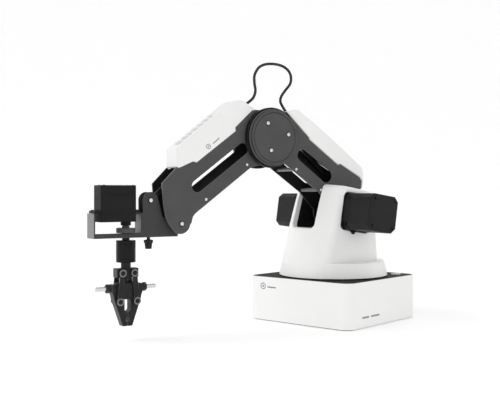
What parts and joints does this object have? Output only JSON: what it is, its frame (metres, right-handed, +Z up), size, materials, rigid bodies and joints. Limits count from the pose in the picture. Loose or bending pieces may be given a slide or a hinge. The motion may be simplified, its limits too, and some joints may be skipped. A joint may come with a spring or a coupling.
{
  "type": "desktop robot arm",
  "caption": "Desktop robot arm on a square base, with levelling linkages inside its arms, a servo-turned wrist and an air-driven two-jaw gripper.",
  "frame": {"origin": "centre of the foot pad's underside, on the table, under the yaw axis", "axes": "+Z up along the yaw axis, -Y out of the base's plain front face, +Y out of its socket panel; at rest the arm is turned 15.66 degrees from -Y towards -X"},
  "size_m": [0.1972, 0.4012, 0.3237],
  "materials": {
    "white_shell": "white satin moulded plastic",
    "dark_plate": "dark grey satin plate",
    "arm_metal": "dark grey anodised sheet",
    "black_metal": "black anodised",
    "motor_case": "black painted steel",
    "black_plastic": "black satin plastic",
    "rubber": "black rubber",
    "bright_steel": "bright turned steel",
    "machined_aluminium": "machined",
    "circuit_board": "green board",
    "lamp": "frosted light guide",
    "cable": "dark grey cable jacket"
  },
  "bodies": {
    "base": {"base_foot_pad": "rubber", "base_housing": "white_shell", "base_top_plate": "dark_plate", "power_light_ring": "lamp", "rear_socket_panel": "black_plastic", "controller_board": "circuit_board", "yaw_motor": "motor_case", "yaw_gearbox": "machined_aluminium", "slew_bearing": "bright_steel"},
    "power_button": {"power_button": "black_plastic"},
    "turret": {"turret_shell": "white_shell", "turntable": "machined_aluminium", "levelling_anchor": "black_metal", "shoulder_motor_cover": "black_plastic", "shoulder_motor": "motor_case", "shoulder_gearbox": "machined_aluminium", "elbow_motor_cover": "black_plastic", "elbow_motor": "motor_case", "elbow_gearbox": "machined_aluminium"},
    "rear_arm": {"rear_plate_left": "arm_metal", "rear_plate_right": "arm_metal", "rear_arm_cover": "white_shell", "rear_spacer_1": "bright_steel", "rear_spacer_2": "bright_steel", "elbow_cap_left": "arm_metal", "elbow_cap_right": "arm_metal", "elbow_shaft": "bright_steel"},
    "elbow_plate": {"elbow_level_plate": "black_metal", "elbow_cable_front": "cable", "elbow_cable_rear": "cable"},
    "rear_rod": {"rear_levelling_rod": "black_metal"},
    "crank": {"forearm_crank": "black_metal"},
    "crank_pin": {"crank_pin": "bright_steel"},
    "drive_rod": {"forearm_drive_rod": "black_metal"},
    "forearm": {"forearm_plate_left": "arm_metal", "forearm_plate_right": "arm_metal", "forearm_cover": "white_shell", "forearm_spacer_1": "bright_steel", "forearm_spacer_2": "bright_steel", "elbow_hub_left": "black_plastic", "elbow_hub_right": "black_plastic", "drive_tail_pin": "bright_steel", "wrist_shaft": "bright_steel"},
    "fore_rod": {"forearm_levelling_rod": "black_metal"},
    "wrist": {"wrist_bracket": "arm_metal", "levelling_rod_bolt": "bright_steel", "servo": "black_plastic"},
    "thumb_screw": {"thumb_screw": "black_metal"},
    "tool": {"servo_horn": "black_plastic", "air_cylinder": "black_metal", "centre_post": "bright_steel", "gripper_block": "black_metal", "guide_rod": "bright_steel"},
    "crosshead": {"gripper_crosshead": "black_metal"},
    "link_front": {"link_front_left": "arm_metal", "link_front_right": "arm_metal"},
    "link_back": {"link_back_left": "arm_metal", "link_back_right": "arm_metal"},
    "jaw_front": {"jaw_front": "black_metal"},
    "jaw_back": {"jaw_back": "black_metal"}
  },
  "joints": [
    {"name": "base_yaw", "type": "hinge", "parent": "base", "child": "turret", "pos_m": [0, 0, 0.0572], "axis": [0, 0, 1], "range_deg": [-74.3, 105.7]},
    {"name": "shoulder", "type": "hinge", "parent": "turret", "child": "rear_arm", "pos_m": [0, 0, 0.13756], "axis": [0.9629, -0.2699, 0], "range_deg": [-49.8, 35.2]},
    {"name": "elbow_level", "type": "hinge", "parent": "rear_arm", "child": "elbow_plate", "pos_m": [-0.02928, -0.10443, 0.22922], "axis": [0.9629, -0.2699, 0], "range_deg": [-36, 50.5], "deforming": ["elbow_cable_rear"]},
    {"name": "forearm_lift", "type": "hinge", "parent": "elbow_plate", "child": "forearm", "pos_m": [-0.02928, -0.10443, 0.22922], "axis": [0.9629, -0.2699, 0], "range_deg": [-50, 42], "deforming": ["elbow_cable_front"]},
    {"name": "wrist_level", "type": "hinge", "parent": "forearm", "child": "wrist", "pos_m": [-0.06203, -0.22127, 0.1274], "axis": [0.9629, -0.2699, 0], "range_deg": [-42.5, 50.5]},
    {"name": "rear_rod_swing", "type": "hinge", "parent": "turret", "child": "rear_rod", "pos_m": [0.00894, 0.01893, 0.15648], "axis": [0.9629, -0.2699, 0], "range_deg": [-50.5, 36]},
    {"name": "fore_rod_swing", "type": "hinge", "parent": "elbow_plate", "child": "fore_rod", "pos_m": [-0.03546, -0.13946, 0.25592], "axis": [0.9629, -0.2699, 0], "range_deg": [-50.5, 42.5]},
    {"name": "crank_turn", "type": "hinge", "parent": "turret", "child": "crank", "pos_m": [0, 0, 0.13756], "axis": [0.9629, -0.2699, 0], "range_deg": [-50.5, 42.5]},
    {"name": "crank_pin_level", "type": "hinge", "parent": "crank", "child": "crank_pin", "pos_m": [0.00314, 0.01119, 0.15131], "axis": [0.9629, -0.2699, 0], "range_deg": [-42.5, 50.5]},
    {"name": "drive_rod_swing", "type": "hinge", "parent": "crank_pin", "child": "drive_rod", "pos_m": [0.00314, 0.01119, 0.15131], "axis": [0.9629, -0.2699, 0], "range_deg": [-50.5, 36]},
    {"name": "tool_rotate", "type": "hinge", "parent": "wrist", "child": "tool", "pos_m": [-0.07895, -0.28164, 0.118], "axis": [0, 0, 1], "range_deg": [-90, 90]},
    {"name": "grip", "type": "slide", "parent": "tool", "child": "jaw_front", "axis": [-0.2699, -0.9629, 0], "range_m": [0, 0.0125]},
    {"name": "grip_back", "type": "slide", "parent": "tool", "child": "jaw_back", "axis": [0.2699, 0.9629, 0], "range_m": [0, 0.0125]},
    {"name": "piston", "type": "slide", "parent": "tool", "child": "crosshead", "axis": [0, 0, -1], "range_m": [0, 0.00402]},
    {"name": "link_front_swing", "type": "hinge", "parent": "crosshead", "child": "link_front", "pos_m": [-0.08084, -0.28838, 0.0745], "axis": [-0.9629, 0.2699, 0], "range_deg": [0, 24.4]},
    {"name": "link_back_swing", "type": "hinge", "parent": "crosshead", "child": "link_back", "pos_m": [-0.07706, -0.2749, 0.0745], "axis": [0.9629, -0.2699, 0], "range_deg": [0, 24.4]},
    {"name": "thumb_screw_turn", "type": "hinge", "parent": "wrist", "child": "thumb_screw", "pos_m": [-0.07156, -0.25526, 0.109], "axis": [0, 0, 1], "continuous": true},
    {"name": "power_press", "type": "slide", "parent": "base", "child": "power_button", "axis": [0, 0, -1], "range_m": [0, 0.0012], "stiffness_N_per_m": 600, "springref_m": -0.001}
  ],
  "couplings": [
    {"joint": "elbow_level", "follows": "shoulder", "ratio": -1},
    {"joint": "rear_rod_swing", "follows": "shoulder", "ratio": 1},
    {"joint": "wrist_level", "follows": "forearm_lift", "ratio": -1},
    {"joint": "fore_rod_swing", "follows": "forearm_lift", "ratio": 1},
    {"joint": "crank_turn", "follows": "forearm_lift", "ratio": 1},
    {"joint": "crank_pin_level", "follows": "forearm_lift", "ratio": -1},
    {"joint": "drive_rod_swing", "follows": "shoulder", "ratio": 1},
    {"joint": "grip_back", "follows": "grip", "ratio": 1},
    {"joint": "piston", "follows": "grip", "ratio": 0.3177},
    {"joint": "link_front_swing", "follows": "grip", "rad_per_m": 33.834},
    {"joint": "link_back_swing", "follows": "grip", "rad_per_m": 33.834}
  ]
}
